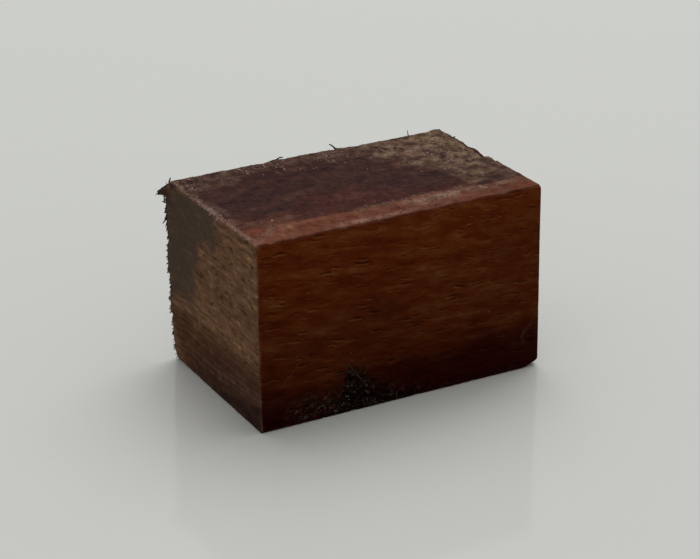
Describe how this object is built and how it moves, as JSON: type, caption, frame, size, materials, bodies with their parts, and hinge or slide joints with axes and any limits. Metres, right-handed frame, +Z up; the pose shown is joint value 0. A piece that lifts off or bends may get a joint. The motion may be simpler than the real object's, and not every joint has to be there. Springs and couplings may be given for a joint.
{
  "type": "wood block",
  "caption": "Short block of red-brown hardwood stock, sawn across the grain at both ends, with a torn arris and splinter, chipped top edge and knocked corners; rests flat as a packer or spacer.",
  "frame": {"origin": "middle of the base, on the surface that the block stands on", "axes": "+X along the grain and the longest side, +Y from the front long face to the back one, +Z up"},
  "size_m": [0.085, 0.0507, 0.0503],
  "materials": {
    "hardwood": "bare red-brown hardwood: planed long faces, saw-cut ends, dusty stained top"
  },
  "bodies": {
    "root": {"wood_block": "hardwood"}
  },
  "joints": []
}
